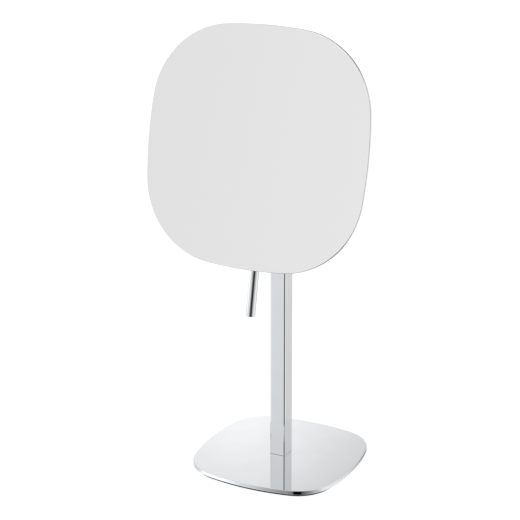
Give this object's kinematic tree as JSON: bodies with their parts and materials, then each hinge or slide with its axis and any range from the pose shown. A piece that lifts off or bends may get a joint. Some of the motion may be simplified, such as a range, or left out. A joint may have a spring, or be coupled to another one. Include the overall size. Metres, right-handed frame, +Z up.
{
  "type": "extendable shaving mirror",
  "caption": "Free-standing shaving mirror: a frameless rounded-square glass with a rod handle that tilts and swivels on a height-adjustable square post over a flat chromed base.",
  "frame": {"origin": "on the surface that the object stands on, under the middle of the base", "axes": "+Z up along the post, -Y towards the user and the mirror's face, +X to the right of someone looking into the mirror"},
  "size_m": [0.224, 0.159, 0.4443],
  "materials": {
    "chrome": "mirror-polished chrome plate",
    "silvered_glass": "silvered float glass with a polished edge",
    "satin_aluminium": "fine satin, anodised",
    "stainless_steel": "plain machined stainless steel",
    "black_rubber": "fine-textured matt rubber",
    "black_polymer": "moulded acetal, low sheen",
    "foam_tape": "closed-cell foam tape"
  },
  "bodies": {
    "stand": {"base_plate": "chrome", "base_pad": "black_rubber", "post_screw": "stainless_steel", "foot_dowels": "stainless_steel", "foot_plug": "stainless_steel", "outer_post": "chrome", "guide_bush": "black_polymer"},
    "post_slider": {"inner_post": "chrome", "slider_shoe": "black_polymer", "friction_spring": "stainless_steel", "shoe_pin": "stainless_steel", "head_pin": "stainless_steel", "post_head": "chrome", "stop_pin": "stainless_steel", "swivel_washer": "black_polymer", "swivel_bolt": "stainless_steel", "thrust_washer": "stainless_steel", "swivel_springs": "stainless_steel"},
    "arm": {"swivel_arm": "chrome", "arm_cap": "chrome"},
    "mirror_head": {"hinge_hub": "chrome", "hub_screws": "stainless_steel", "mirror_glass": "silvered_glass", "adhesive_sheet": "foam_tape", "back_plate": "satin_aluminium", "tilt_pin": "stainless_steel", "tilt_nut": "stainless_steel", "tilt_spring": "stainless_steel", "tilt_washers": "black_polymer", "hub_caps": "chrome", "handle_rod": "chrome", "rod_washer": "chrome", "rod_set_screw": "stainless_steel"}
  },
  "joints": [
    {"name": "post_extend", "type": "slide", "parent": "stand", "child": "post_slider", "axis": [0, 0, 1], "range_m": [0, 0.1]},
    {"name": "head_swivel", "type": "hinge", "parent": "post_slider", "child": "arm", "pos_m": [0, 0, 0.327], "axis": [0, 0, 1], "range_deg": [-75, 75]},
    {"name": "mirror_tilt", "type": "hinge", "parent": "arm", "child": "mirror_head", "pos_m": [0, -0.0186, 0.327], "axis": [-1, 0, 0], "range_deg": [-18, 48]}
  ]
}
